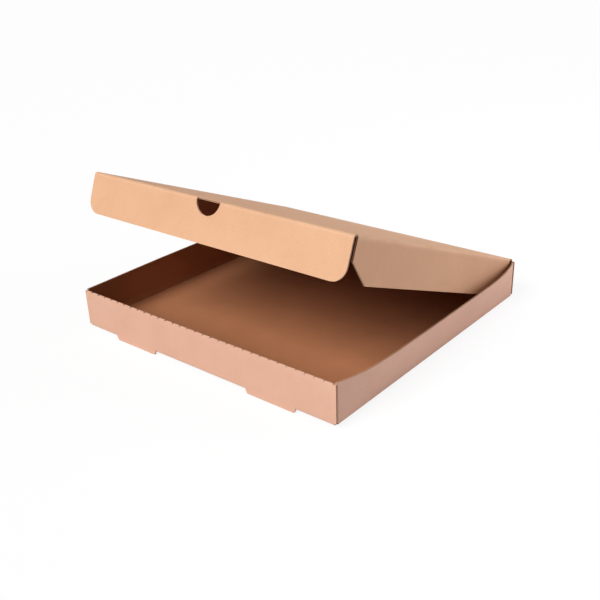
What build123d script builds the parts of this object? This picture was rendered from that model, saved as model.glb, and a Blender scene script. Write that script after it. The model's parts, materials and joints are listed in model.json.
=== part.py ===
"""Pizza box of kraft corrugated board, lid propped open.

One die-cut sheet folds into a tray with a rolled-over front wall, a lid creased to the
back wall, and three flaps creased to the lid. X runs along the front, Y to the back,
Z up, and the origin is the centre of the base's underside. Millimetres and degrees.
"""

import os
from math import cos, radians, sin

from build123d import *

os.makedirs("parts", exist_ok=True)

# Board and folds
board = 1.5  # single-wall fine-flute board
layer_gap = 0.2  # air between layers folded against each other
fold_radius = 1.5  # bend radius at the middle of the board
crease_gap = 0.3  # clearance round a crease that turns

# Tray, outside sizes
tray_width = 333.0
tray_depth = 330.0
tray_height = 42.0
right_bow = 9.5  # how far the right wall's top edge springs outwards
left_bow = 2.5
bow_fullness = 6  # higher is flatter in the middle and steeper at the corners
front_tab_length = 62.0  # side wall's corner tab inside the front wall
rear_tab_length = 48.0
end_clearance = 0.4  # rolled-over front panel to the side wall

# Lock slots under the front wall
foot_centre = 91.5  # from the middle of the box
foot_width = 60.0  # along the front wall
foot_drop = 4.0  # below the base
foot_taper = 2.0  # narrowing at each lower end
lock_clearance = 1.0  # inner panel's lock tab to the ends of its slot

# Lid and flaps
lid_open_angle = 22.0
side_clearance = 1.6  # side flap to the tray wall it slides behind
front_clearance = 0.4  # front flap's lower edge to the front wall as the lid shuts
base_clearance = 0.5  # flap's lower edge to the base when the lid is shut
lid_corner_radius = 2.0
crease_land = 0.06  # flat left between the two rounded corners of the lid's creased edges
flap_corner_radius = 14.5
thumb_notch_radius = 15.0
side_flap_setback = 5.5  # front end of a side flap behind the front crease
side_flap_knee = 21.7  # depth where the front end starts to slant
side_flap_slant = 26.0  # length that the slant takes along the lower edge
side_flap_rear = 5.0  # rear end of a side flap from the lid's hinge line
side_flap_rear_slant = 5.0
side_flap_bevel = 1.2  # relief at the crease so a side flap can fold inwards

# Planes and layers that the pieces share
half_width = tray_width / 2
front_face = -tray_depth / 2
back_face = tray_depth / 2
layer_pitch = board + layer_gap
front_wall_depth = 3 * board + 2 * layer_gap
fold_top = fold_radius + board / 2
side_start = front_face + layer_pitch
side_end = back_face - layer_pitch
base_start = front_face + fold_top
base_end = back_face - fold_top
wall_inside = half_width - board
roll_half_width = wall_inside - end_clearance
tab_top = tray_height - fold_top - layer_gap
foot_centres = (foot_centre, -foot_centre)
slot_places = [(centre, front_face) for centre in foot_centres]
lock_tab_places = [(centre, front_face + 2 * layer_pitch) for centre in foot_centres]
backwards = (Align.CENTER, Align.MIN)  # a rectangle that starts at its place and runs to the back
forwards = (Align.CENTER, Align.MAX)

# Crease lines, in the lid's own directions
hinge_y = back_face - board / 2
hinge_z = tray_height + crease_gap + board / 2
flap_depth = hinge_z - board - base_clearance
flap_start = board / 2 + crease_gap
lid_half_width = wall_inside - side_clearance - board / 2
open_angle = radians(lid_open_angle)
lid_forward = Vector(0, -cos(open_angle), sin(open_angle))
lid_normal = Vector(0, sin(open_angle), cos(open_angle))
hinge_point = Vector(0, hinge_y, hinge_z)
front_reach = hinge_y - (front_face + front_wall_depth + front_clearance)
lid_length = (front_reach**2 - flap_depth**2) ** 0.5 - board / 2
side_flap_front = lid_length - side_flap_setback
crease_round = (board - crease_land) / 2
front_crease_point = hinge_point + lid_forward * lid_length
lid_plane = Plane(hinge_point, x_dir=(1, 0, 0), z_dir=lid_normal)
front_flap_plane = Plane(front_crease_point, x_dir=(1, 0, 0), z_dir=lid_forward)
right_hinge_point = hinge_point + Vector(lid_half_width, 0, 0)
right_flap_plane = Plane(right_hinge_point, x_dir=lid_forward, z_dir=(1, 0, 0))


def bowed_edge(x: float, start: float, end: float, bow: float) -> None:
    """Draw one long edge of a side wall in plan, bowed outwards between its two ends."""
    middle = (start + end) / 2
    half_run = (end - start) / 2
    outward = 1 if x > 0 else -1
    stations = (-1.0, -0.85, -0.6, -0.3, 0.0, 0.3, 0.6, 0.85, 1.0)
    Spline(
        *[(x + outward * bow * (1 - abs(f) ** bow_fullness), middle + f * half_run) for f in stations]
    )


def side_wall_outline(side: int, bow: float) -> None:
    """Draw a side wall with its two corner tabs in plan; side is 1 for right and -1 for left."""
    outer = side * half_width
    inner = side * wall_inside
    front_tip = inner - side * front_tab_length
    rear_tip = inner - side * rear_tab_length
    front_inside = side_start + board
    rear_inside = side_end - board
    bowed_edge(outer, front_inside, rear_inside, bow)
    RadiusArc((outer, rear_inside), (inner, side_end), -side * board)
    Polyline((inner, side_end), (rear_tip, side_end), (rear_tip, rear_inside), (inner, rear_inside))
    bowed_edge(inner, front_inside, rear_inside, bow)
    Polyline((inner, front_inside), (front_tip, front_inside), (front_tip, side_start), (inner, side_start))
    RadiusArc((inner, side_start), (outer, front_inside), -side * board)


# Side walls: straight at the base fold and bowed along the top, with corner tabs
side_walls = []
for side, bow in ((1, right_bow), (-1, left_bow)):
    with BuildPart() as side_wall:
        for height, bulge in ((fold_top, 0.0), (tray_height, bow)):
            with BuildSketch(Plane.XY.offset(height)):
                with BuildLine():
                    side_wall_outline(side, bulge)
                make_face()
        loft(ruled=True)
        # The tabs stay under the rolled-over fold and below the lid
        with BuildSketch(Plane.XY.offset(tab_top)):
            Rectangle(2 * wall_inside, tray_depth)
        extrude(amount=tray_height, mode=Mode.SUBTRACT)
    side_walls.append(side_wall.part)

# Front wall: up from the base, over the corner tabs and down inside, locked in two slots
with BuildPart() as front_wall:
    with BuildSketch(Plane.YZ):
        with BuildLine():
            RadiusArc((base_start, board / 2), (front_face + board / 2, fold_top), fold_radius)
            FilletPolyline(
                (front_face + board / 2, fold_top),
                (front_face + board / 2, tray_height - board / 2),
                (front_face + front_wall_depth - board / 2, tray_height - board / 2),
                (front_face + front_wall_depth - board / 2, board + layer_gap),
                radius=fold_radius,
            )
        trace(line_width=board)
    extrude(amount=half_width, both=True)
    # Only the outer panel reaches the corners
    with BuildSketch(Plane.XY.offset(board)):
        with Locations((half_width, front_face + board), (-half_width, front_face + board)):
            Rectangle(2 * (half_width - roll_half_width), front_wall_depth, align=backwards)
    extrude(amount=tray_height, mode=Mode.SUBTRACT)
    # Slots in the fold, as long as the feet
    with BuildSketch(Plane.XY):
        with Locations(*slot_places):
            Rectangle(foot_width, front_wall_depth + layer_gap, align=backwards)
    extrude(amount=fold_top, mode=Mode.SUBTRACT)
    # Feet: the slots' own board, left standing in the plane of the outer panel
    with BuildSketch(Plane.XZ.offset(-front_face)):
        for centre in foot_centres:
            with BuildLine():
                Polyline(
                    (centre - foot_width / 2, fold_top),
                    (centre - foot_width / 2, 0),
                    (centre - foot_width / 2 + foot_taper, -foot_drop),
                    (centre + foot_width / 2 - foot_taper, -foot_drop),
                    (centre + foot_width / 2, 0),
                    (centre + foot_width / 2, fold_top),
                    close=True,
                )
            make_face()
    extrude(amount=-board)
    # Lock tabs of the inner panel, standing in the slots
    with BuildSketch(Plane.XY):
        with Locations(*lock_tab_places):
            Rectangle(foot_width - 2 * lock_clearance, board, align=backwards)
    extrude(amount=fold_top)

# Tray: base with its side folds, back wall, and the walls above
with BuildPart() as tray:
    with BuildSketch(Plane.XZ):
        with BuildLine():
            RadiusArc((-half_width + board / 2, fold_top), (-half_width + fold_top, board / 2), -fold_radius)
            Line((-half_width + fold_top, board / 2), (half_width - fold_top, board / 2))
            RadiusArc((half_width - fold_top, board / 2), (half_width - board / 2, fold_top), -fold_radius)
        trace(line_width=board)
    extrude(amount=(base_end - base_start) / 2, both=True)
    with BuildSketch(Plane.XY):
        with Locations(*slot_places):
            Rectangle(foot_width, front_wall_depth + layer_gap, align=backwards)
    extrude(amount=fold_top, mode=Mode.SUBTRACT)
    with BuildSketch(Plane.YZ):
        with BuildLine():
            RadiusArc((base_end, board / 2), (back_face - board / 2, fold_top), -fold_radius)
            Line((back_face - board / 2, fold_top), (back_face - board / 2, tray_height))
        trace(line_width=board)
    extrude(amount=half_width, both=True)
    add(front_wall.part)
    add(side_walls)

# Lid: one panel, rounded at the crease on each of its four sides
with BuildPart() as lid:
    with BuildSketch(lid_plane):
        with Locations((0, board / 2)):
            Rectangle(2 * lid_half_width + board, lid_length + board, align=forwards)
    extrude(amount=board / 2, both=True)
    fillet(lid.edges().filter_by(Axis(hinge_point, lid_normal)), radius=lid_corner_radius)
    fillet(lid.faces().filter_by(lid_plane).edges(), radius=crease_round)

# Front flap: full width of the lid, round lower corners, half-moon thumb notch at the crease
with BuildPart() as front_flap:
    with BuildSketch(front_flap_plane) as front_outline:
        with Locations((0, -flap_start)):
            Rectangle(2 * lid_half_width + board, flap_depth - flap_start, align=forwards)
        fillet(front_outline.vertices().group_by(Axis.Y)[0], radius=flap_corner_radius)
        Circle(thumb_notch_radius, mode=Mode.SUBTRACT)
    extrude(amount=board / 2, both=True)

# Side flaps: slanted at the front end, relieved at the crease to fold inwards
with BuildPart() as right_flap:
    with BuildSketch(right_flap_plane):
        with BuildLine():
            Polyline(
                (side_flap_rear, flap_start),
                (side_flap_front, flap_start),
                (side_flap_front, side_flap_knee),
                (side_flap_front - side_flap_slant, flap_depth),
                (side_flap_rear + side_flap_rear_slant, flap_depth),
                close=True,
            )
        make_face()
    extrude(amount=board / 2, both=True)
    crease_end = right_flap.faces().sort_by(Axis(hinge_point, lid_normal))[-1]
    chamfer(crease_end.edges().sort_by(Axis.X)[0], length=side_flap_bevel)

with BuildPart() as left_flap:
    mirror(right_flap.part, about=Plane.YZ)

pieces = {
    "tray": tray.part,
    "lid": lid.part,
    "front_flap": front_flap.part,
    "right_flap": right_flap.part,
    "left_flap": left_flap.part,
}
for name, piece in pieces.items():
    piece.label = name
    export_step(piece, f"parts/{name}.step")
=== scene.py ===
"""Looks of a pizza box of kraft corrugated board, with its lid propped open.

Each piece is grown as a sheet from the die-cut blank: rows of edges are run flat, bent round
the creases and then given the thickness of the board. Every point keeps its place on the flat
blank, so that flutes and fibres run on round the folds. Metres, X along the front, Y to the
back and Z up.
"""

from __future__ import annotations

import json
import logging
import math
from collections.abc import Sequence
from dataclasses import dataclass, field
from enum import Enum, IntEnum

import bmesh
import bpy
from mathutils import Matrix, Vector
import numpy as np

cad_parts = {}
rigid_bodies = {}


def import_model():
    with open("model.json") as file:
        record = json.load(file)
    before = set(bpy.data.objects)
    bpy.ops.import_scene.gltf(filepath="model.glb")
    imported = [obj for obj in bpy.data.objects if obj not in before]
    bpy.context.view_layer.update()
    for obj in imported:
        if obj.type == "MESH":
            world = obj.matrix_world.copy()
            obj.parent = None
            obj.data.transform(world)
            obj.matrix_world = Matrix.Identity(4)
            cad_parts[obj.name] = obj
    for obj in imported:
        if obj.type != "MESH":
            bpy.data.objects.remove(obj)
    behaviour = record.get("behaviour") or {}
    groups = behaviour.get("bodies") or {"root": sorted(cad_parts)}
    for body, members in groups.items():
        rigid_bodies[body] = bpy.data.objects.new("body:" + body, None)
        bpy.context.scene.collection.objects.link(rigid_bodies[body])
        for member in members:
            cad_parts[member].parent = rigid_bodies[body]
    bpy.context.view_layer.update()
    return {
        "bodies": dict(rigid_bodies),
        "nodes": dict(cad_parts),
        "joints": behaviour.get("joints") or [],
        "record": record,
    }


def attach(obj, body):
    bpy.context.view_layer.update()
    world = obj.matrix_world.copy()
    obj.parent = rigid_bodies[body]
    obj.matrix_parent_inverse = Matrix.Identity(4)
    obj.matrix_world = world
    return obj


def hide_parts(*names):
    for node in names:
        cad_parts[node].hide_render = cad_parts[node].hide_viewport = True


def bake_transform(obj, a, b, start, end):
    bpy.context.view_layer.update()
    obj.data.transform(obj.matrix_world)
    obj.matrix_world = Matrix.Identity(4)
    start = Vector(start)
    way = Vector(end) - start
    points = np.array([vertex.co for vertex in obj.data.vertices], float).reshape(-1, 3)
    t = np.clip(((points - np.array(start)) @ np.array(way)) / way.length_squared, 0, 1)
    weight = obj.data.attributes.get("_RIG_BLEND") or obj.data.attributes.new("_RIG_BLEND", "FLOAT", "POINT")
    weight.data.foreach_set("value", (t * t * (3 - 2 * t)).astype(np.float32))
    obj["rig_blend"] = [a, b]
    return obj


LOG = logging.getLogger("pizza_box")
BLANK_MAP = "blank"
QUARTER_TURN = math.pi / 2
SMOOTH_ANGLE = math.radians(40.0)
NEAR = 1e-5
HALF_WAY = 0.5
UP = Vector((0.0, 0.0, 1.0))
ALONG_X = Vector((1.0, 0.0, 0.0))
ALONG_Y = Vector((0.0, 1.0, 0.0))
ACROSS_BLANK = Vector((1.0, 0.0))
ALONG_BLANK = Vector((0.0, 1.0))

Number = float | int
Colour = tuple[float, float, float]
Settings = dict[str, object] | None
Inputs = dict[str | int, object] | None
WHITE: Colour = (1.0, 1.0, 1.0)


class Side(IntEnum):
    """Sides of the box, by the sign of X."""

    RIGHT = 1
    LEFT = -1


class End(IntEnum):
    """Ends of the box, by the sign of Y."""

    FRONT = -1
    BACK = 1


class BoardSide(Enum):
    """Sides of a sheet of board, in the order of a piece's material slots."""

    OUTSIDE = 0
    INSIDE = 1
    CUT_EDGE = 2


class ColourMix(IntEnum):
    """Sockets of a Mix node that is set to colours."""

    FACTOR = 0
    FIRST = 6
    SECOND = 7
    RESULT = 2


class PointData(Enum):
    """Values that every point of a sheet carries."""

    BLANK_X = "blank_x"
    BLANK_Y = "blank_y"
    # Share of the fold colour at each point: light wear on the lid, painted shade on the tray.
    FOLD = "fold_wear"
    DEPTH = "board_depth"


@dataclass(frozen=True)
class Board:
    """Single-wall fine-flute board that the whole box is cut from."""

    thickness: float = 0.0015
    layer_gap: float = 0.0002
    fold_radius: float = 0.0015
    fold_steps: int = 6
    # Share of the fold colour at the last step of each fold: wear on the lid, painted shade on the tray.
    fold_end_wear_and_shade: float = 0.35
    flute_pitch: float = 0.0034
    liner: float = 0.00026
    core_sink: float = 0.0003

    @property
    def half(self) -> float:
        """Half the thickness."""
        return self.thickness / 2

    @property
    def outer_fold(self) -> float:
        """Radius of a fold at the outside of the board."""
        return self.fold_radius + self.half

    @property
    def layer_pitch(self) -> float:
        """Step from one layer to the next where panels are folded against each other."""
        return self.thickness + self.layer_gap

    def bend_length(self, radius: float, turn: float = QUARTER_TURN) -> float:
        """Return the length of blank in a bend of that outer radius and turn."""
        return (radius - self.half) * turn


BOARD = Board()


class Signal:
    """Value in a node tree, whose sums and products add Math nodes."""

    def __init__(self, shader: Shader, socket: bpy.types.NodeSocket) -> None:
        """Keep the tree and the socket that gives the value."""
        self.shader = shader
        self.socket = socket

    def __add__(self, other: Signal | Number) -> Signal:
        """Return self + other."""
        return self.shader.math("ADD", self, other)

    def __radd__(self, other: Number) -> Signal:
        """Return other + self."""
        return self.shader.math("ADD", other, self)

    def __sub__(self, other: Signal | Number) -> Signal:
        """Return self - other."""
        return self.shader.math("SUBTRACT", self, other)

    def __rsub__(self, other: Number) -> Signal:
        """Return other - self."""
        return self.shader.math("SUBTRACT", other, self)

    def __mul__(self, other: Signal | Number) -> Signal:
        """Return self * other."""
        return self.shader.math("MULTIPLY", self, other)

    def __rmul__(self, other: Number) -> Signal:
        """Return other * self."""
        return self.shader.math("MULTIPLY", other, self)

    def __truediv__(self, other: Signal | Number) -> Signal:
        """Return self / other."""
        return self.shader.math("DIVIDE", self, other)

    def __rtruediv__(self, other: Number) -> Signal:
        """Return other / self."""
        return self.shader.math("DIVIDE", other, self)

    def __abs__(self) -> Signal:
        """Return the size of self without its sign."""
        return self.shader.math("ABSOLUTE", self)


@dataclass(frozen=True)
class Grain:
    """Noise field: lumps per metre along each axis, number of finer layers and their strength."""

    scale: tuple[float, float, float]
    detail: float
    harshness: float = 0.5


class Shader:
    """Node tree of a material or world, filled node by node."""

    def __init__(self, tree: bpy.types.NodeTree) -> None:
        """Empty the tree and keep it."""
        self.tree = tree
        self.tree.nodes.clear()

    def add(self, kind: str, settings: Settings = None, inputs: Inputs = None) -> bpy.types.Node:
        """Add any node.

        Args:
            kind: Node type.
            settings: Properties of the node, set first.
            inputs: Values or links of its sockets, by name or number.

        Returns:
            The node.
        """
        made = self.tree.nodes.new(kind)
        for name, value in (settings or {}).items():
            setattr(made, name, value)
        for name, value in (inputs or {}).items():
            socket = made.inputs[name]
            if isinstance(value, Signal):
                self.tree.links.new(value.socket, socket)
            elif socket.type == "RGBA":
                socket.default_value = (*value, 1.0)
            else:
                socket.default_value = value
        return made

    def node(
        self, kind: str, settings: Settings = None, inputs: Inputs = None, output: str | int = 0
    ) -> Signal:
        """Add any node, as add does, and return the value of one of its outputs."""
        return Signal(self, self.add(kind, settings, inputs).outputs[output])

    def math(self, operation: str, *values: Signal | Number) -> Signal:
        """Add a Math node for the operation on the values and return its result."""
        return self.node("ShaderNodeMath", {"operation": operation}, dict(enumerate(values)))

    def clamp(self, value: Signal) -> Signal:
        """Return the value held between 0 and 1."""
        return self.node("ShaderNodeClamp", inputs={"Value": value})

    def noise(self, place: Signal, grain: Grain) -> Signal:
        """Add a noise field.

        Args:
            place: Coordinates.
            grain: Size and strength of the noise.

        Returns:
            Noise from about -0.5 to 0.5.
        """
        scaled = self.node("ShaderNodeMapping", inputs={"Vector": place, "Scale": grain.scale})
        inputs = {"Vector": scaled, "Scale": 1.0, "Detail": grain.detail, "Roughness": grain.harshness}
        return self.node("ShaderNodeTexNoise", inputs=inputs) - HALF_WAY

    def mix(self, factor: Signal, first: Signal | Colour, second: Signal | Colour) -> Signal:
        """Return the first colour where the factor is 0 and the second where it is 1."""
        inputs = {ColourMix.FACTOR: factor, ColourMix.FIRST: first, ColourMix.SECOND: second}
        return self.node("ShaderNodeMix", {"data_type": "RGBA"}, inputs, ColourMix.RESULT)

    def place(self) -> Signal:
        """Return the place on the piece."""
        return self.node("ShaderNodeTexCoord", output="Object")

    def blank(self) -> Signal:
        """Return the place on the flat blank."""
        return self.node("ShaderNodeUVMap", {"uv_map": BLANK_MAP})

    def flutes(self, blank: Signal) -> Signal:
        """Return the wave of the board's flutes, from -1 to 1, at a place on the blank."""
        along = self.node("ShaderNodeSeparateXYZ", inputs={0: blank}, output="Y")
        return self.math("SINE", along * (2 * math.pi / BOARD.flute_pitch))

    def point_data(self, data: PointData) -> Signal:
        """Return a value that the points of a sheet carry."""
        return self.node("ShaderNodeAttribute", {"attribute_name": data.value}, output="Fac")

    def bump(self, height: Signal, distance: float, strength: float) -> Signal:
        """Return the normal of a surface with that relief."""
        inputs = {"Height": height, "Distance": distance, "Strength": strength}
        return self.node("ShaderNodeBump", inputs=inputs)

    def end(self, kind: str, surface: Signal) -> None:
        """End the tree with an output node of that type."""
        self.add(kind, inputs={"Surface": surface})


def new_material(name: str) -> tuple[bpy.types.Material, Shader]:
    """Make a material with an empty node tree.

    Args:
        name: Name of the material.

    Returns:
        The material and its shader tree.
    """
    material = bpy.data.materials.new(name)
    material.use_nodes = True
    return material, Shader(material.node_tree)


@dataclass(frozen=True)
class KraftPaper:
    """Liner paper of the board, with mottling, fibres, the faint lines of the flutes under it, a fold colour
    of wear and painted shade, and painted shade on the side flaps where set.
    """

    name: str
    pale: Colour = (0.745, 0.440, 0.265)
    dark: Colour = (0.585, 0.314, 0.176)
    fleck: Colour = (0.300, 0.150, 0.085)
    # Fold colour: a little lighter wear on the lid, darker painted shade on the tray.
    worn_and_shaded: Colour = (0.740, 0.460, 0.290)
    roughness: float = 0.62
    gloss: float = 0.12
    clouds: Grain = Grain((7.0, 7.0, 7.0), 2.0)
    mottle: Grain = Grain((26.0, 26.0, 26.0), 5.0, 0.65)
    fibres: Grain = Grain((260.0, 1500.0, 1.0), 4.0, 0.6)
    specks: Grain = Grain((700.0, 1700.0, 1.0), 2.0)
    fuzz: Grain = Grain((1900.0, 2600.0, 1.0), 3.0)
    cloud_shade: float = 0.35
    mottle_shade: float = 0.65
    fibre_shade: float = 0.75
    flute_shade: float = 0.018
    side_flap_shade: float = 0.0
    side_crease: float = 0.1625
    side_fade: float = 0.004
    fleck_level: float = 0.20
    fleck_crispness: float = 9.0
    fleck_strength: float = 0.5
    # How the fold colour is laid on in patches: light wear on the lid, painted shade on the tray.
    fold_tone_even: float = 0.4
    fold_tone_mottle: float = 1.2
    fold_tone_fibre: float = 0.8
    fibre_height: float = 0.35
    fuzz_height: float = 0.25
    mottle_height: float = 0.4
    flute_height: float = 0.02
    relief: float = 0.0003
    relief_strength: float = 0.35
    fibre_roughness: float = 0.16
    mottle_roughness: float = 0.12
    fold_roughness: float = 0.08

    def material(self) -> bpy.types.Material:
        """Build the paper's nodes.

        Returns:
            The material.
        """
        material, s = new_material(self.name)
        place = s.place()
        blank = s.blank()
        fold = s.point_data(PointData.FOLD)
        clouds = s.noise(place, self.clouds)
        mottle = s.noise(place, self.mottle)
        fibres = s.noise(blank, self.fibres)
        specks = s.noise(blank, self.specks)
        fuzz = s.noise(blank, self.fuzz)
        flutes = s.flutes(blank)
        # Painted shade: past the side creases the side flaps are painted darker and browner, standing in for
        # the shade that they sit in.
        across = s.node("ShaderNodeSeparateXYZ", inputs={0: blank}, output="X")
        beyond = s.clamp((abs(across) - self.side_crease) / self.side_fade)
        shade = HALF_WAY + clouds * self.cloud_shade + mottle * self.mottle_shade
        shade = shade + fibres * self.fibre_shade + flutes * self.flute_shade - beyond * self.side_flap_shade
        paper = s.mix(s.clamp(shade), self.dark, self.pale)
        flecks = s.clamp((specks - self.fleck_level) * self.fleck_crispness) * self.fleck_strength
        paper = s.mix(flecks, paper, self.fleck)
        # Fold colour along the folds: a little lighter wear on the lid; on the tray it is darker, painted
        # shade that tones down the light on its rounded folds.
        patches = self.fold_tone_even + mottle * self.fold_tone_mottle + fibres * self.fold_tone_fibre
        paper = s.mix(s.clamp(fold * patches), paper, self.worn_and_shaded)
        height = fibres * self.fibre_height + fuzz * self.fuzz_height
        height = height + mottle * self.mottle_height + flutes * self.flute_height
        roughness = self.roughness + fibres * self.fibre_roughness + mottle * self.mottle_roughness
        inputs = {
            "Base Color": paper,
            "Roughness": s.clamp(roughness + fold * self.fold_roughness),
            "Normal": s.bump(height, self.relief, self.relief_strength),
            "Specular IOR Level": self.gloss,
        }
        s.end("ShaderNodeOutputMaterial", s.node("ShaderNodeBsdfPrincipled", inputs=inputs))
        return material


@dataclass(frozen=True)
class CutEdge:
    """Cut edge of the board: two liners with the fluted core between them, with painted shade in the
    channels beside the flutes and on the darkened core.
    """

    name: str
    liner: Colour = (0.640, 0.390, 0.240)
    # The core and channel colours are painted dark, standing in for the shade inside the cut edge's open
    # flutes.
    core: Colour = (0.500, 0.290, 0.172)
    flute_channel_shade: Colour = (0.260, 0.140, 0.080)
    roughness: float = 0.8
    fuzz: Grain = Grain((900.0, 900.0, 900.0), 3.0)
    fuzz_share: float = 0.1
    liner_share: float = 0.17
    liner_crispness: float = 14.0
    wave_share: float = 0.30
    wave_width: float = 0.13
    wave_crispness: float = 12.0
    fuzz_height: float = 0.5
    wave_height: float = 0.5
    relief: float = 0.0003
    relief_strength: float = 0.5

    def material(self) -> bpy.types.Material:
        """Build the cut edge's nodes.

        Returns:
            The material.
        """
        material, s = new_material(self.name)
        depth = s.point_data(PointData.DEPTH)
        fuzz = s.noise(s.place(), self.fuzz)
        ragged = fuzz * self.fuzz_share
        wave = s.flutes(s.blank()) * self.wave_share + HALF_WAY
        on_wave = s.clamp((self.wave_width - abs(depth - wave + ragged)) * self.wave_crispness)
        past_core = abs(depth - HALF_WAY) - (HALF_WAY - self.liner_share)
        on_liner = s.clamp((past_core + ragged) * self.liner_crispness)
        # Painted shade in the channels beside the flute wave.
        core = s.mix(on_wave, self.flute_channel_shade, self.core)
        height = fuzz * self.fuzz_height + on_wave * self.wave_height + on_liner
        inputs = {
            "Base Color": s.mix(on_liner, core, self.liner),
            "Roughness": self.roughness,
            "Normal": s.bump(height, self.relief, self.relief_strength),
        }
        s.end("ShaderNodeOutputMaterial", s.node("ShaderNodeBsdfPrincipled", inputs=inputs))
        return material


# The lid's outside paper, with painted shade darkening its side flaps.
LID_PAPER = KraftPaper("kraft_outside", side_flap_shade=0.42)
# Painted sheen: the tray's outside is the same board painted greyer and pinker, standing in for the cool
# sheen that its walls catch. Its fold colour is darker than its paper, painted shade over the light on the
# rounded folds.
TRAY_PAPER_WITH_SHEEN = KraftPaper(
    "kraft_tray_outside",
    pale=(0.715, 0.425, 0.300),
    dark=(0.560, 0.305, 0.205),
    worn_and_shaded=(0.560, 0.325, 0.230),
)
# Painted shade: the inner liner is the same kraft, painted far darker and redder, standing in for the shade
# and warm bounced light inside the box and under the lid.
INSIDE_PAPER_SHADED = KraftPaper(
    "kraft_inside",
    pale=(0.478, 0.203, 0.095),
    dark=(0.355, 0.142, 0.064),
    roughness=0.75,
    gloss=0.2,
)
CUT_EDGE = CutEdge("board_cut_edge")


@dataclass(frozen=True)
class Finishes:
    """Materials of the board's three sides."""

    outside: bpy.types.Material
    inside: bpy.types.Material
    cut_edge: bpy.types.Material

    def dress(self, piece: bpy.types.Object) -> None:
        """Give a piece its three finishes.

        Args:
            piece: Piece whose faces already name their side of the board.
        """
        for material in (self.outside, self.inside, self.cut_edge):
            piece.data.materials.append(material)


def inside(point: Vector, low: Sequence[float], high: Sequence[float]) -> bool:
    """Say whether a point lies in a box, given by its lowest and highest corner."""
    return all(a - NEAR <= value <= b + NEAR for value, a, b in zip(point, low, high))


def even_steps(start: float, end: float, count: int) -> list[float]:
    """Return the ends and the equal steps between them, count steps in all."""
    return [start + (end - start) * index / count for index in range(count + 1)]


def both_sides(values: Sequence[float], between: Sequence[float] = ()) -> list[float]:
    """Return the values mirrored about zero, what lies between, and the values themselves."""
    return [-value for value in reversed(values)] + [*between, *values]


def arc_reach(radius: float, distance: float) -> float:
    """Return how far a circle reaches at a distance from its centre line."""
    return math.sqrt(max(0.0, radius**2 - distance**2))


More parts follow.
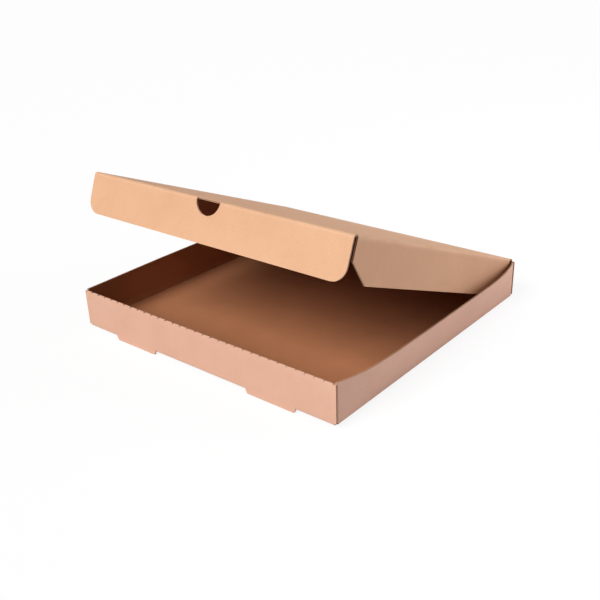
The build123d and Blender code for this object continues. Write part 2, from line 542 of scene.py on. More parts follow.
class Sheet:
    """Sheet of board, grown row by row from its blank and then given its thickness."""

    def __init__(self) -> None:
        """Start an empty mesh with the layers that its points carry."""
        self.mesh = bmesh.new()
        self.row: list[bmesh.types.BMEdge] = []
        for data in PointData:
            self.mesh.verts.layers.float.new(data.value)

    def layer(self, data: PointData) -> bmesh.types.BMLayerItem:
        """Return the layer that holds the data."""
        return self.mesh.verts.layers.float[data.value]

    def shift_blank(self, points: Sequence[bmesh.types.BMVert], step: Vector, fold: float = 0.0) -> None:
        """Move points on the flat blank.

        Args:
            points: Points of the sheet.
            step: Their way along the blank.
            fold: Share of the fold colour that they take, wear on the lid and painted shade on the tray, 0
                on a flat panel.
        """
        blank_x, blank_y = self.layer(PointData.BLANK_X), self.layer(PointData.BLANK_Y)
        fold_mark = self.layer(PointData.FOLD)
        for point in points:
            point[blank_x] += step.x
            point[blank_y] += step.y
            point[fold_mark] = fold

    def lower(self, point: bmesh.types.BMVert, drop: float, direction: Vector) -> None:
        """Move a point down its upright panel, and as far on the blank in that direction."""
        point.co.z -= drop
        self.shift_blank([point], direction * drop)

    def start(self, places: Sequence[Vector], blank: Vector, direction: Vector) -> None:
        """Lay the first row, a line of edges through the places.

        Args:
            places: Points of the row, in order.
            blank: Place of the first point on the flat blank.
            direction: Way that the row runs on the blank.
        """
        tip = self.mesh.verts.new(places[0])
        self.shift_blank([tip], blank)
        self.row = []
        for before, after in zip(places, places[1:]):
            grown = bmesh.ops.extrude_vert_indiv(self.mesh, verts=[tip])
            tip = grown["verts"][0]
            bmesh.ops.translate(self.mesh, vec=after - before, verts=[tip])
            self.shift_blank([tip], direction * (after - before).length)
            self.row += grown["edges"]

    def grow(self, move: Matrix, step: Vector, fold: float = 0.0) -> None:
        """Extrude the row once.

        Args:
            move: How the new row lies against the last.
            step: Its way along the blank.
            fold: Share of the fold colour that the new row takes, wear on the lid and painted shade on the
                tray, 0 on a flat panel.
        """
        grown = bmesh.ops.extrude_edge_only(self.mesh, edges=self.row)["geom"]
        points = [part for part in grown if isinstance(part, bmesh.types.BMVert)]
        bmesh.ops.transform(self.mesh, matrix=move, verts=points)
        self.shift_blank(points, step, fold)
        fresh = set(points)
        edges = [part for part in grown if isinstance(part, bmesh.types.BMEdge)]
        self.row = [edge for edge in edges if fresh.issuperset(edge.verts)]

    def run(self, offset: Vector, direction: Vector, steps: int = 1) -> None:
        """Run the row straight.

        Args:
            offset: Whole length and direction of the run.
            direction: Its way on the blank, as a unit vector.
            steps: Number of equal steps.
        """
        move = Matrix.Translation(offset / steps)
        for _ in range(steps):
            self.grow(move, direction * (offset.length / steps))

    def bend(
        self,
        centre: Vector,
        axis: Vector,
        angle: float,
        direction: Vector,
        radius: float,
        fold_mark: float = 1.0,
    ) -> None:
        """Bend the row round an axis.

        Args:
            centre: Point on the axis.
            axis: Direction of the axis.
            angle: Turn in radians, right-handed about the axis.
            direction: Way on the blank, as a unit vector.
            radius: Radius of the bend at the outside of the board.
            fold_mark: Share of the fold colour along the fold, wear on the lid and painted shade on the
                tray, up to 1.
        """
        steps = BOARD.fold_steps
        turn = Matrix.Rotation(angle / steps, 4, axis)
        move = Matrix.Translation(centre) @ turn @ Matrix.Translation(-centre)
        step = direction * (BOARD.bend_length(radius, abs(angle)) / steps)
        for _ in range(steps - 1):
            self.grow(move, step, fold_mark)
        self.grow(move, step, fold_mark * BOARD.fold_end_wear_and_shade)

    def pick(self, low: Sequence[float], high: Sequence[float]) -> None:
        """Take as the row the open edges that lie in a box.

        Args:
            low: Lowest corner of the box.
            high: Highest corner of the box.
        """
        self.row = [
            edge
            for edge in self.mesh.edges
            if edge.is_boundary and all(inside(point.co, low, high) for point in edge.verts)
        ]

    def cut_out(self, low: Sequence[float], high: Sequence[float]) -> None:
        """Delete the faces whose middle lies in a box, given by its lowest and highest corner."""
        gone = [face for face in self.mesh.faces if inside(face.calc_center_median(), low, high)]
        bmesh.ops.delete(self.mesh, geom=gone, context="FACES")

    def thicken(self, outside: Vector) -> None:
        """Give the sheet the board's thickness on its inner side and name the faces' sides.

        Args:
            outside: Direction that the sheet's first face has outside.
        """
        faces = self.mesh.faces[:]
        bmesh.ops.recalc_face_normals(self.mesh, faces=faces)
        if faces[0].normal.dot(outside) > 0:
            bmesh.ops.reverse_faces(self.mesh, faces=faces)
        made = bmesh.ops.solidify(self.mesh, geom=faces, thickness=-BOARD.thickness)["geom"]
        inner = {part for part in made if isinstance(part, bmesh.types.BMFace)}
        outer = set(faces)
        depth = self.layer(PointData.DEPTH)
        for face in self.mesh.faces:
            if face in outer:
                face.material_index = BoardSide.OUTSIDE.value
            elif face in inner:
                face.material_index = BoardSide.INSIDE.value
                for point in face.verts:
                    point[depth] = 1.0
            else:
                face.material_index = BoardSide.CUT_EDGE.value
        bmesh.ops.recalc_face_normals(self.mesh, faces=self.mesh.faces[:])
        self.sink_core()

    def sink_core(self) -> None:
        """Sink the fluted core between the two liners along every cut edge."""
        core = [face for face in self.mesh.faces if face.material_index == BoardSide.CUT_EDGE.value]
        rims = bmesh.ops.inset_region(
            self.mesh,
            faces=core,
            thickness=BOARD.liner,
            depth=-BOARD.core_sink,
            use_even_offset=True,
            use_boundary=True,
        )["faces"]
        sunk = {point for face in core for point in face.verts}
        depth = self.layer(PointData.DEPTH)
        share = BOARD.liner / BOARD.thickness
        for edge in {edge for face in rims for edge in face.edges}:
            low, high = sorted(edge.verts, key=lambda point: point in sunk)
            if high in sunk and low not in sunk:
                for data in PointData:
                    high[self.layer(data)] = low[self.layer(data)]
                high[depth] = abs(low[depth] - share)

    def soften(self, edges: Sequence[bmesh.types.BMEdge], radius: float, segments: int) -> None:
        """Round edges with a bevel of that radius and number of segments."""
        bmesh.ops.bevel(
            self.mesh,
            geom=list(edges),
            offset=radius,
            affect="EDGES",
            segments=segments,
            profile=0.5,
            material=-1,
            clamp_overlap=True,
        )

    def place(self, matrix: Matrix) -> None:
        """Move the whole sheet."""
        bmesh.ops.transform(self.mesh, matrix=matrix, verts=self.mesh.verts[:])

    def piece(self, name: str, finishes: Finishes) -> bpy.types.Object:
        """Turn the sheet into a finished piece.

        Args:
            name: Name of the piece.
            finishes: Materials that dress it.

        Returns:
            The piece's object.
        """
        blank = self.mesh.loops.layers.uv.new(BLANK_MAP)
        blank_x, blank_y = self.layer(PointData.BLANK_X), self.layer(PointData.BLANK_Y)
        for face in self.mesh.faces:
            face.smooth = True
            for loop in face.loops:
                loop[blank].uv = (loop.vert[blank_x], loop.vert[blank_y])
        mesh = bpy.data.meshes.new(name)
        self.mesh.to_mesh(mesh)
        self.mesh.free()
        mesh.set_sharp_from_angle(angle=SMOOTH_ANGLE)
        made = bpy.data.objects.new(name, mesh)
        bpy.context.scene.collection.objects.link(made)
        finishes.dress(made)
        return made

    def panel(self, name: str, body: str, finishes: Finishes) -> bpy.types.Object:
        """Turn the sheet into a finished piece that rides on a body and stands for its node.

        Args:
            name: Name of the piece.
            body: Name of the body, which its node shares.
            finishes: Materials that dress it.

        Returns:
            The piece's object.
        """
        made = self.piece(name, finishes)
        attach(made, body)
        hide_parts(body)
        return made


@dataclass
class Tray:
    """Base, walls, corner tabs, rolled-over front, lock slots and feet: one folded sheet."""

    back_top: float
    width: float = 0.333
    depth: float = 0.330
    height: float = 0.042
    right_bow: float = 0.00948
    left_bow: float = 0.00248
    bow_fullness: int = 6
    left_ease: float = 0.65
    front_tab: float = 0.062
    rear_tab: float = 0.048
    tab_fold: float = 0.0019
    tab_top: float = 0.0376
    roll_crest: float = 0.0404
    roll_fold: float = 0.0016
    roll_slope: float = 28.0
    # Share of the fold colour on the rolled front, which on the tray's paper is painted shade.
    roll_wear_and_shade: float = 0.15
    foot_centre: float = 0.0915
    foot_width: float = 0.060
    foot_drop: float = 0.00398
    foot_taper: float = 0.002
    lock_clearance: float = 0.001
    ear_drop: float = 0.0009
    tooth_pitch: float = 0.0103
    tooth_length: float = 0.0076
    tooth_thickness: float = 0.0014
    tooth_inset: float = 0.00003
    tooth_rise: float = 0.0010
    tooth_round: float = 0.00035
    tooth_segments: int = 3
    wall_columns: int = 64
    wall_rows: int = 4
    tab_rows: int = 3
    body: str = "tray"
    sheet: Sheet = field(default_factory=Sheet)

    def __post_init__(self) -> None:
        """Work out the planes that the panels share."""
        self.half_width = self.width / 2
        self.front = -self.depth / 2
        self.back = self.depth / 2
        self.wall_inside = self.half_width - BOARD.thickness
        self.base_half = self.half_width - BOARD.outer_fold
        self.base_front = self.front + BOARD.outer_fold
        self.base_back = self.back - BOARD.outer_fold
        self.wall_end = self.back - BOARD.layer_pitch - self.tab_fold
        self.roll_top = self.roll_crest - self.roll_fold
        self.roll_depth = 3 * BOARD.thickness + 2 * BOARD.layer_gap
        self.slot_back = self.front + self.roll_depth + BOARD.layer_gap

    def build(self, finishes: Finishes) -> bpy.types.Object:
        """Fold the whole tray.

        Args:
            finishes: Materials that dress it.

        Returns:
            The tray's object, riding on its body.
        """
        self.lay_base()
        for side in Side:
            self.fold_side(side)
            for end in End:
                self.fold_tab(side, end)
        self.fold_front()
        self.fold_back()
        self.open_slots()
        self.sheet.thicken(-UP)
        self.bow_walls()
        self.add_teeth()
        return self.sheet.panel("tray_board", self.body, finishes)

    def foot_spans(self, gap: float = 0.0) -> list[tuple[float, float]]:
        """Return where the right and left foot start and end along X, less a gap at each end.

        Args:
            gap: Length left out at each end of a foot.

        Returns:
            Lower and upper end of each foot.
        """
        low = self.foot_centre - self.foot_width / 2 + gap
        high = self.foot_centre + self.foot_width / 2 - gap
        return [(low, high), (-high, -low)]

    def lay_base(self) -> None:
        """Lay the flat base, with lines where slots and walls start."""
        steps = even_steps(self.slot_back, self.wall_end, self.wall_columns)
        stations = [self.base_front, -self.wall_end, *steps, self.base_back]
        foot, lock_tab = self.foot_spans()[0], self.foot_spans(self.lock_clearance)[0]
        columns = both_sides([foot[0], *lock_tab, foot[1], self.base_half])
        places = [Vector((columns[0], y, 0.0)) for y in stations]
        self.sheet.start(places, Vector((columns[0], stations[0])), ALONG_BLANK)
        for before, after in zip(columns, columns[1:]):
            self.sheet.run(ALONG_X * (after - before), ACROSS_BLANK)

    def fold_side(self, side: Side) -> None:
        """Fold up a side wall.

        Args:
            side: Side of the box.
        """
        edge = side * self.base_half
        self.sheet.pick((edge, -self.wall_end, 0.0), (edge, self.wall_end, 0.0))
        out = ACROSS_BLANK * side
        centre = Vector((edge, 0.0, BOARD.outer_fold))
        self.sheet.bend(centre, ALONG_Y, -side * QUARTER_TURN, out, BOARD.outer_fold)
        self.sheet.run(UP * (self.tab_top - BOARD.outer_fold), out, self.wall_rows)
        self.sheet.run(UP * (self.height - self.tab_top), out)

    def fold_tab(self, side: Side, end: End) -> None:
        """Fold a side wall's end inwards as a corner tab.

        Args:
            side: Side of the box.
            end: End of the box, whose wall the tab lies behind.
        """
        x, y = side * self.half_width, end * self.wall_end
        self.sheet.pick((x, y, BOARD.outer_fold), (x, y, self.height))
        along = ALONG_BLANK * end
        centre = Vector((x - side * self.tab_fold, y, 0.0))
        self.sheet.bend(centre, UP, side * end * QUARTER_TURN, along, self.tab_fold)
        x -= side * self.tab_fold
        y += end * self.tab_fold
        self.sheet.pick((x, y, BOARD.outer_fold), (x, y, self.tab_top))
        tab = self.front_tab if end is End.FRONT else self.rear_tab
        self.sheet.run(ALONG_X * (-side * tab), along, self.tab_rows)

    def fold_front(self) -> None:
        """Fold up the front wall, roll it over the corner tabs and run it down inside."""
        edge = self.base_half
        forwards = -ALONG_BLANK
        self.sheet.pick((-edge, self.base_front, 0.0), (edge, self.base_front, 0.0))
        centre = Vector((0.0, self.base_front, BOARD.outer_fold))
        self.sheet.bend(centre, ALONG_X, -QUARTER_TURN, forwards, BOARD.outer_fold)
        self.sheet.run(UP * (self.roll_top - BOARD.outer_fold), forwards, self.wall_rows)
        top = self.sheet.row
        for side in Side:
            self.widen(side, End.FRONT)
        self.sheet.row = top
        inner = self.front + self.roll_depth
        slope = math.radians(self.roll_slope)
        centre = Vector((0.0, self.front + self.roll_fold, self.roll_top))
        self.sheet.bend(centre, ALONG_X, -QUARTER_TURN - slope, forwards, self.roll_fold, self.roll_wear_and_shade)
        level = self.roll_depth - 2 * self.roll_fold
        fall = level * math.tan(slope)
        self.sheet.run(Vector((0.0, level, -fall)), forwards)
        centre = Vector((0.0, inner - self.roll_fold, self.roll_top - fall))
        self.sheet.bend(centre, ALONG_X, slope - QUARTER_TURN, forwards, self.roll_fold, self.roll_wear_and_shade)
        bottom = BOARD.layer_pitch
        self.sheet.run(UP * (bottom - self.roll_top + fall), forwards, self.wall_rows)
        for start, end in self.foot_spans(self.lock_clearance):
            self.sheet.pick((start, inner, bottom), (end, inner, bottom))
            self.sheet.run(UP * -bottom, forwards)

    def fold_back(self) -> None:
        """Fold up the back wall."""
        edge = self.base_half
        self.sheet.pick((-edge, self.base_back, 0.0), (edge, self.base_back, 0.0))
        centre = Vector((0.0, self.base_back, BOARD.outer_fold))
        self.sheet.bend(centre, ALONG_X, QUARTER_TURN, ALONG_BLANK, BOARD.outer_fold)
        self.sheet.run(UP * (self.back_top - BOARD.outer_fold), ALONG_BLANK, self.wall_rows)
        for side in Side:
            self.widen(side, End.BACK)

    def widen(self, side: Side, end: End) -> None:
        """Run the front or back wall's panel out to the corner, in front with its upper ear.

        Args:
            side: Side of the box.
            end: End of the box that the wall closes.
        """
        edge = side * self.base_half
        plane = end * self.back
        self.sheet.pick((edge, plane, BOARD.outer_fold), (edge, plane, self.height))
        self.sheet.run(ALONG_X * (side * BOARD.outer_fold), ACROSS_BLANK * side)
        if end is End.FRONT:
            low, high = sorted((edge, side * self.half_width))
            self.sheet.pick((low, plane, self.roll_top), (high, plane, self.roll_top))
            self.sheet.run(UP * (self.height - self.ear_drop - self.roll_top), -ALONG_BLANK)

    def open_slots(self) -> None:
        """Cut the lock slots, and run the front panel down as a foot in each."""
        top = BOARD.outer_fold
        for start, end in self.foot_spans():
            self.sheet.cut_out((start, self.front, 0.0), (end, self.slot_back, top - BOARD.layer_gap))
            self.sheet.pick((start, self.front, top), (end, self.front, top))
            self.sheet.run(UP * -top, -ALONG_BLANK)
            self.sheet.run(UP * -self.foot_drop, -ALONG_BLANK)
            share = 1 - 2 * self.foot_taper / self.foot_width
            points = list({point for edge in self.sheet.row for point in edge.verts})
            about = Matrix.Translation((-(start + end) / 2, 0.0, 0.0))
            bmesh.ops.scale(self.sheet.mesh, vec=(share, 1.0, 1.0), space=about, verts=points)

    def bow_walls(self) -> None:
        """Lean the side walls outwards between their ends, the left one more slowly from the front."""
        wall_height = self.height - BOARD.outer_fold
        for point in self.sheet.mesh.verts:
            rise = point.co.z - BOARD.outer_fold
            on_wall = abs(point.co.x) > self.wall_inside - BOARD.layer_gap
            if rise > 0 and on_wall:
                station = max(-1.0, min(1.0, point.co.y / self.wall_end))
                bow = self.right_bow
                if point.co.x < 0:
                    bow = -self.left_bow * min(1.0, (1 + station) / self.left_ease)
                lean = math.asin(bow * (1 - abs(station) ** self.bow_fullness) / wall_height)
                point.co.x += rise * math.sin(lean)
                point.co.z -= rise * (1 - math.cos(lean))

    def add_teeth(self) -> None:
        """Stand the small teeth of the perforated fold along the front wall's top."""
        count = int((2 * self.base_half - self.tooth_length) / self.tooth_pitch)
        height = self.roll_fold + self.tooth_rise
        size = (self.tooth_length, self.tooth_thickness, height)
        middle_y = self.front + self.tooth_inset + self.tooth_thickness / 2
        for index in range(count + 1):
            x = (index - count / 2) * self.tooth_pitch
            place = Matrix.Translation((x, middle_y, self.roll_top + height / 2))
            move = place @ Matrix.Diagonal((*size, 1.0))
            points = bmesh.ops.create_cube(self.sheet.mesh, size=1.0, matrix=move)["verts"]
            self.sheet.shift_blank(points, Vector((x, self.front)), self.roll_wear_and_shade)
            edges = {edge for point in points for edge in point.link_edges}
            upper = [edge for edge in edges if all(p.co.z > self.roll_crest for p in edge.verts)]
            self.sheet.soften(upper, self.tooth_round, self.tooth_segments)


@dataclass
class LidFrame:
    """Place of the lid and its creases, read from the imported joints."""

    joints: dict[str, dict]
    front_radius: float = 0.0032
    side_radius: float = 0.0022
    hinge_radius: float = 0.0025
    lead: float = 0.0006
    base_clearance: float = 0.0005
    tray_blank: float = 0.2046
    flap_rows: int = 3

    def __post_init__(self) -> None:
        """Work out the lid's own directions and sizes, and where its creases start and end."""
        self.hinge = Vector(self.joints["lid_hinge"]["pos_m"])
        self.half_width = self.joints["right_flap_hinge"]["pos_m"][0] + BOARD.half
        reach = self.hinge - Vector(self.joints["front_flap_hinge"]["pos_m"])
        tilt = math.atan2(reach.z, reach.y)
        self.length = reach.length
        self.matrix = Matrix.Translation(self.hinge) @ Matrix.Rotation(tilt, 4, "X")
        self.flap_depth = self.hinge.z - BOARD.thickness - self.base_clearance
        self.hinge_turn = QUARTER_TURN + tilt
        inset = self.hinge_radius - BOARD.half
        rise = math.tan(self.hinge_turn / 2) * inset
        self.hinge_centre = self.hinge - Vector((0.0, inset, rise))
        self.wall_top = self.hinge_centre.z - self.lead
        self.panel_rear = rise + self.lead
        self.panel_front = self.length + BOARD.half - self.front_radius - self.lead
        self.panel_half = self.half_width - self.side_radius - self.lead
        self.front_start = self.front_radius - BOARD.half + self.lead
        self.side_start = self.side_radius - BOARD.half + self.lead
        self.panel_blank = self.tray_blank + self.crease_blank(self.hinge_radius, self.hinge_turn)

    def crease_blank(self, radius: float, turn: float = QUARTER_TURN) -> float:
        """Return the length of blank in a crease of that outer radius and turn."""
        return 2 * self.lead + BOARD.bend_length(radius, turn)

    def blank_ahead(self, ahead: float) -> float:
        """Return the place on the blank of a point of the panel, ahead of the hinge line."""
        return self.panel_blank + ahead - self.panel_rear

    def at(self, x: float, ahead: float, above: float) -> Vector:
        """Return a place in the row frame, given in the lid's own directions from its hinge line."""
        return self.matrix @ Vector((x, -ahead, above))


@dataclass
class Lid:
    """Lid panel, flat between the creases on its four sides."""

    frame: LidFrame
    steps: int = 24
    body: str = "lid"

    def build(self, finishes: Finishes) -> bpy.types.Object:
        """Make the lid's panel.

        Args:
            finishes: Materials that dress it.

        Returns:
            The lid's object, riding on its body.
        """
        frame = self.frame
        sheet = Sheet()
        half = frame.panel_half
        flap_front = frame.length - SideFlap.setback
        rows = [frame.panel_rear, *even_steps(SideFlap.rear, flap_front, self.steps), frame.panel_front]
        places = [Vector((x, -rows[0], BOARD.half)) for x in even_steps(-half, half, self.steps)]
        sheet.start(places, Vector((-half, frame.blank_ahead(rows[0]))), ACROSS_BLANK)
        for before, after in zip(rows, rows[1:]):
            sheet.run(ALONG_Y * (before - after), ALONG_BLANK)
        for side in Side:
            for start, end in (rows[:2], rows[-2:]):
                sheet.pick((side * half, -end, 0.0), (side * half, -start, BOARD.half))
                sheet.run(ALONG_X * (side * (frame.half_width - half)), ACROSS_BLANK * side)
        sheet.thicken(UP)
        sheet.place(frame.matrix)
        return sheet.panel("lid_panel", self.body, finishes)


@dataclass
class Flap:
    """Flap of the lid, run down from its crease as a plain strip and then fitted to its outline."""

    frame: LidFrame

    def outline(self, place: Vector) -> tuple[float, float]:
        """Return the depth of the upper and lower edge below the crease, at a place of the strip."""
        raise NotImplementedError

    def hang(self, sheet: Sheet, start: float, direction: Vector) -> None:
        """Run the flap down from its first row.

        Args:
            sheet: Sheet that holds the first row.
            start: Depth of that row below the crease.
            direction: Way down the flap on the blank.
        """
        depth = self.frame.flap_depth
        sheet.run(UP * (start - depth), direction, self.frame.flap_rows)
        for point in sheet.mesh.verts:
            share = (-point.co.z - start) / (depth - start)
            upper, lower = self.outline(point.co)
            sheet.lower(point, upper + share * (lower - upper) + point.co.z, direction)


@dataclass
class FrontFlap(Flap):
    """Front flap, with rounded lower corners and a thumb notch at the crease."""

    corner_radius: float = 0.0145
    notch_radius: float = 0.015
    corner_steps: int = 10
    notch_steps: int = 24
    plain_steps: int = 8
    body: str = "front_flap"

    def build(self, finishes: Finishes) -> bpy.types.Object:
        """Make the front flap.

        Args:
            finishes: Materials that dress it.

        Returns:
            The flap's object, riding on its body.
        """
        frame = self.frame
        sheet = Sheet()
        start = frame.front_start
        half = frame.half_width
        face = -(frame.length + BOARD.half)
        mouth = arc_reach(self.notch_radius, start)
        turns = even_steps(-QUARTER_TURN, QUARTER_TURN, self.notch_steps)
        notch = [mouth * math.sin(turn) for turn in turns]
        turns = even_steps(0.0, QUARTER_TURN, self.corner_steps)
        corner = [half - self.corner_radius * (1 - math.sin(turn)) for turn in turns]
        right = even_steps(mouth, corner[0], self.plain_steps)[1:-1] + corner
        places = [Vector((x, face, -start)) for x in both_sides(right, notch)]
        blank = frame.blank_ahead(frame.panel_front) + frame.crease_blank(frame.front_radius)
        sheet.start(places, Vector((-half, blank)), ACROSS_BLANK)
        self.hang(sheet, start, ALONG_BLANK)
        sheet.thicken(-ALONG_Y)
        sheet.place(frame.matrix)
        return sheet.panel("front_flap_panel", self.body, finishes)

    def outline(self, place: Vector) -> tuple[float, float]:
        """Work out the edges, with the notch in the upper and round ends to the lower.

        Args:
            place: Place of the strip.

        Returns:
            Depth of the upper and lower edge below the crease.
        """
        into_corner = max(0.0, abs(place.x) - (self.frame.half_width - self.corner_radius))
        lift = self.corner_radius - arc_reach(self.corner_radius, into_corner)
        upper = max(self.frame.front_start, arc_reach(self.notch_radius, place.x))
        return upper, self.frame.flap_depth - lift


@dataclass
class SideFlap(Flap):
    """Side flap, slanted at both ends."""

    side: Side
    setback: float = 0.0055
    knee: float = 0.0217
    slant: float = 0.026
    rear: float = 0.005
    rear_slant: float = 0.005
    steps: int = 24

    def build(self, finishes: Finishes) -> bpy.types.Object:
        """Make the side flap.

        Args:
            finishes: Materials that dress it.

        Returns:
            The flap's object, riding on its body.
        """
        frame = self.frame
        sheet = Sheet()
        start = frame.side_start
        front = frame.length - self.setback
        plain = even_steps(self.rear + self.rear_slant, front - self.slant, self.steps)
        stations = [self.rear, *plain, front]
        places = [Vector((self.side * frame.half_width, -ahead, -start)) for ahead in stations]
        beyond = frame.panel_half + frame.crease_blank(frame.side_radius)
        blank = Vector((self.side * beyond, frame.blank_ahead(stations[0])))
        sheet.start(places, blank, ALONG_BLANK)
        self.hang(sheet, start, ACROSS_BLANK * self.side)
        bmesh.ops.remove_doubles(sheet.mesh, verts=sheet.mesh.verts[:], dist=NEAR)
        sheet.thicken(ALONG_X * self.side)
        sheet.place(frame.matrix)
        body = f"{self.side.name.lower()}_flap"
        return sheet.panel(f"{body}_panel", body, finishes)

    def outline(self, place: Vector) -> tuple[float, float]:
        """Work out the edges, with both ends of the lower slanted.

        Args:
            place: Place of the strip.

        Returns:
            Depth of the upper and lower edge below the crease.
        """
        start, depth = self.frame.side_start, self.frame.flap_depth
        into_rear = min(1.0, (-place.y - self.rear) / self.rear_slant)
        into_front = min(1.0, (self.frame.length - self.setback + place.y) / self.slant)
        rear_reach = start + (depth - start) * into_rear
        return start, min(rear_reach, self.knee + (depth - self.knee) * into_front)


@dataclass
class Creases:
    """Bent board at the lid's four creases, which turns with the two panels that it joins."""

    frame: LidFrame
    notch: float = 0.01475
    steps: int = 48

    def build(self, finishes: Finishes) -> list[bpy.types.Object]:
        """Make the four creases.

        Args:
            finishes: Materials that dress them.

        Returns:
            The creases, each blended between its two bodies.
        """
        made = [self.front_crease(finishes)]
        made += [self.side_crease(side, finishes) for side in Side]
        made.append(self.hinge_crease(finishes))
        return made

    def front_crease(self, finishes: Finishes) -> bpy.types.Object:
        """Make the crease between lid and front flap, cut back over the thumb notch.

        Args:
            finishes: Materials that dress it.

        Returns:
            The crease.
        """
        frame = self.frame
        sheet = Sheet()
        half, radius, line = frame.half_width, frame.front_radius, frame.panel_front
        columns = both_sides(even_steps(self.notch, half, self.steps // 2))
        places = [Vector((x, -line, BOARD.half)) for x in columns]
        sheet.start(places, Vector((-half, frame.blank_ahead(line))), ACROSS_BLANK)
        sheet.run(ALONG_Y * -frame.lead, ALONG_BLANK)
        centre = Vector((0.0, -line - frame.lead, BOARD.half - radius))
        sheet.bend(centre, ALONG_X, QUARTER_TURN, ALONG_BLANK, radius)
        sheet.run(UP * -frame.lead, ALONG_BLANK)
        front = -line - radius - frame.lead
        sheet.cut_out((-self.notch, front, -radius), (self.notch, front, BOARD.half - radius / 2))
        sheet.cut_out((-self.notch, front, -radius), (self.notch, front + radius / 2, 0.0))
        sheet.thicken(UP)
        sheet.place(frame.matrix)
        made = sheet.piece("front_crease", finishes)
        first = frame.at(0.0, line, BOARD.half)
        last = frame.at(0.0, line + frame.lead + radius, -frame.front_start)
        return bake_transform(made, "lid", "front_flap", start=first, end=last)

    def side_crease(self, side: Side, finishes: Finishes) -> bpy.types.Object:
        """Make the crease between lid and side flap.

        Args:
            side: Side of the box.
            finishes: Materials that dress it.

        Returns:
            The crease.
        """
        frame = self.frame
        sheet = Sheet()
        radius, line = frame.side_radius, frame.panel_half
        stations = even_steps(SideFlap.rear, frame.length - SideFlap.setback, self.steps)
        places = [Vector((side * line, -ahead, BOARD.half)) for ahead in stations]
        blank = Vector((side * line, frame.blank_ahead(stations[0])))
        sheet.start(places, blank, ALONG_BLANK)
        out = ACROSS_BLANK * side
        sheet.run(ALONG_X * (side * frame.lead), out)
        centre = Vector((side * (line + frame.lead), 0.0, BOARD.half - radius))
        sheet.bend(centre, ALONG_Y, side * QUARTER_TURN, out, radius)
        sheet.run(UP * -frame.lead, out)
        sheet.thicken(UP)
        sheet.place(frame.matrix)
        word = side.name.lower()
        made = sheet.piece(f"{word}_crease", finishes)
        first = frame.at(side * line, stations[0], BOARD.half)
        last = frame.at(side * frame.half_width, stations[0], -frame.side_start)
        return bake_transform(made, "lid", f"{word}_flap", start=first, end=last)

    def hinge_crease(self, finishes: Finishes) -> bpy.types.Object:
        """Make the crease between back wall and lid.

        Args:
            finishes: Materials that dress it.

        Returns:
            The crease.
        """
        frame = self.frame
        sheet = Sheet()
        face = frame.hinge.y + BOARD.half
        half = frame.half_width
        places = [Vector((x, face, frame.wall_top)) for x in even_steps(-half, half, self.steps)]
        sheet.start(places, Vector((-half, frame.tray_blank)), ACROSS_BLANK)
        sheet.run(UP * frame.lead, ALONG_BLANK)
        sheet.bend(frame.hinge_centre, ALONG_X, frame.hinge_turn, ALONG_BLANK, frame.hinge_radius)
        sheet.run(frame.matrix.to_3x3() @ (ALONG_Y * -frame.lead), ALONG_BLANK)
        sheet.thicken(ALONG_Y)
        made = sheet.piece("hinge_crease", finishes)
        first = Vector((0.0, face, frame.wall_top))
        last = frame.at(0.0, frame.panel_rear, BOARD.half)
        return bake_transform(made, "tray", "lid", start=first, end=last)


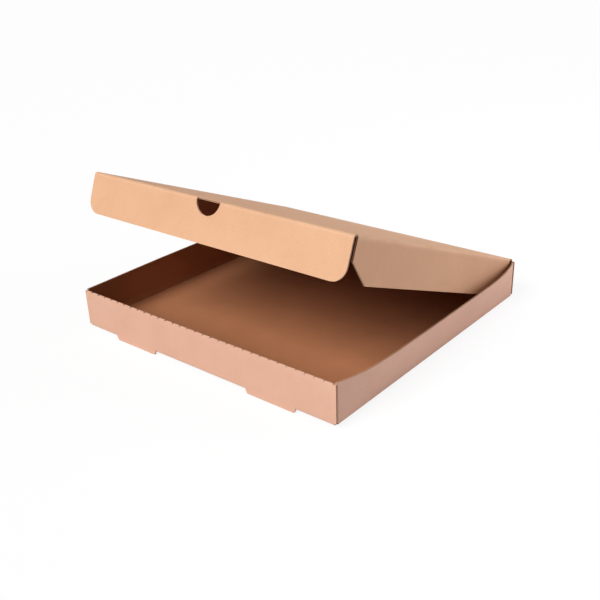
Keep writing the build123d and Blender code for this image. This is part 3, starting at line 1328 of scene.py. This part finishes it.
@dataclass(frozen=True)
class Studio:
    """White floor and surroundings, a soft key light, a panel lamp at the rear and the camera."""

    azimuth: float = 39.907
    elevation: float = 24.777
    roll: float = -1.868
    distance: float = 0.914425
    aim_right: float = -0.005889
    aim_up: float = 0.011046
    lens: float = 49.5715
    key_direction: tuple[float, float, float] = (-0.14, -0.735, 0.66)
    key_strength: float = 3.38
    key_angle: float = 35.0
    panel_place: tuple[float, float, float] = (0.85, 0.66, 0.36)
    panel_aim: tuple[float, float, float] = (0.10, 0.05, 0.06)
    panel_size: float = 0.9
    panel_power: float = 6.5
    panel_colour: Colour = (1.0, 1.02, 1.10)
    surround: float = 0.15
    floor_size: float = 30.0
    floor_squares: int = 4
    floor_gap: float = 0.00002
    floor_colour: Colour = (0.72, 0.76, 0.86)
    floor_glow: float = 0.88

    def build(self) -> None:
        """Set up floor, lights, world and camera."""
        bpy.context.scene.view_settings.view_transform = "Standard"
        self.lay_floor()
        self.hang_key()
        self.hang_panel()
        self.light_surroundings()
        self.stand_camera()

    def seen_mask(self, shader: Shader) -> Signal:
        """Tell what is seen from what only gives light.

        Args:
            shader: Tree that the mask is for.

        Returns:
            1 for rays that the camera sees straight, in gloss or through something.
        """
        names = ("Is Camera Ray", "Is Glossy Ray", "Is Transmission Ray")
        straight, gloss, through = (shader.node("ShaderNodeLightPath", output=name) for name in names)
        return shader.clamp(straight + gloss + through)

    def lay_floor(self) -> None:
        """Lay the floor under the feet and the rear edge of the base."""
        mesh = bmesh.new()
        tilt = Matrix.Rotation(math.atan2(Tray.foot_drop + self.floor_gap, Tray.depth), 4, "X")
        place = Matrix.Translation((0.0, Tray.depth / 2, 0.0)) @ tilt
        squares = self.floor_squares
        size = self.floor_size / 2
        bmesh.ops.create_grid(mesh, x_segments=squares, y_segments=squares, size=size, matrix=place)
        data = bpy.data.meshes.new("studio_floor")
        mesh.to_mesh(data)
        mesh.free()
        floor = bpy.data.objects.new("studio_floor", data)
        bpy.context.scene.collection.objects.link(floor)
        material, s = new_material("white_floor")
        seen = self.seen_mask(s)
        paint = s.node("ShaderNodeBsdfDiffuse", inputs={"Color": s.mix(seen, self.floor_colour, WHITE)})
        glow = s.node("ShaderNodeEmission", inputs={"Color": WHITE})
        inputs = {0: seen * self.floor_glow, 1: paint, 2: glow}
        s.end("ShaderNodeOutputMaterial", s.node("ShaderNodeMixShader", inputs=inputs))
        data.materials.append(material)

    def hang_key(self) -> None:
        """Hang the soft key light in front."""
        lamp = bpy.data.lights.new("soft_key", "SUN")
        lamp.energy = self.key_strength
        lamp.angle = math.radians(self.key_angle)
        self.hang(lamp, Vector(), Vector(self.key_direction))

    def hang_panel(self) -> None:
        """Hang the softer panel lamp at the rear right."""
        lamp = bpy.data.lights.new("rear_panel", "AREA")
        lamp.shape = "DISK"
        lamp.size = self.panel_size
        lamp.energy = self.panel_power
        lamp.color = self.panel_colour
        place = Vector(self.panel_place)
        self.hang(lamp, place, place - Vector(self.panel_aim))

    def hang(self, lamp: bpy.types.Light, place: Vector, back: Vector) -> None:
        """Put a lamp in the scene.

        Args:
            lamp: Lamp to hang.
            place: Where it hangs.
            back: Way from what it lights to the lamp.
        """
        hung = bpy.data.objects.new(lamp.name, lamp)
        bpy.context.scene.collection.objects.link(hung)
        hung.location = place
        hung.rotation_mode = "QUATERNION"
        hung.rotation_quaternion = back.to_track_quat("Z", "Y")

    def light_surroundings(self) -> None:
        """Give even light from all round, and a white background to what sees it."""
        world = bpy.data.worlds.new("white_surroundings")
        world.use_nodes = True
        bpy.context.scene.world = world
        s = Shader(world.node_tree)
        strength = self.surround + self.seen_mask(s) * (1.0 - self.surround)
        inputs = {"Color": WHITE, "Strength": strength}
        s.end("ShaderNodeOutputWorld", s.node("ShaderNodeBackground", inputs=inputs))

    def stand_camera(self) -> None:
        """Stand the camera at the photograph's viewing angle."""
        turn, rise, roll = (math.radians(a) for a in (self.azimuth, self.elevation, self.roll))
        level = Matrix.Rotation(turn, 3, "Z") @ Matrix.Rotation(QUARTER_TURN - rise, 3, "X")
        axes = level @ Matrix.Rotation(roll, 3, "Z")
        place = axes @ Vector((self.aim_right, self.aim_up, self.distance))
        data = bpy.data.cameras.new("camera")
        data.lens = self.lens
        camera = bpy.data.objects.new("camera", data)
        bpy.context.scene.collection.objects.link(camera)
        camera.matrix_world = Matrix.Translation(place) @ axes.to_4x4()
        bpy.context.scene.camera = camera


def main() -> None:
    """Load the frame, build every piece around it and set up the studio."""
    logging.basicConfig(level=logging.INFO, format="%(name)s: %(message)s")
    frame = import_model()
    # The inside paper carries painted shade for the box's interior.
    shaded_inside_paper = INSIDE_PAPER_SHADED.material()
    cut_edge = CUT_EDGE.material()
    lid_finishes = Finishes(LID_PAPER.material(), shaded_inside_paper, cut_edge)
    tray_finishes = Finishes(TRAY_PAPER_WITH_SHEEN.material(), shaded_inside_paper, cut_edge)
    lid_frame = LidFrame({joint["name"]: joint for joint in frame["joints"]})
    pieces = [
        Tray(lid_frame.wall_top).build(tray_finishes),
        Lid(lid_frame).build(lid_finishes),
        FrontFlap(lid_frame).build(lid_finishes),
        *[SideFlap(lid_frame, side).build(lid_finishes) for side in Side],
        *Creases(lid_frame).build(lid_finishes),
    ]
    for piece in pieces:
        LOG.info("piece %s: %d faces", piece.name, len(piece.data.polygons))
    Studio().build()


if __name__ == "__main__":
    main()
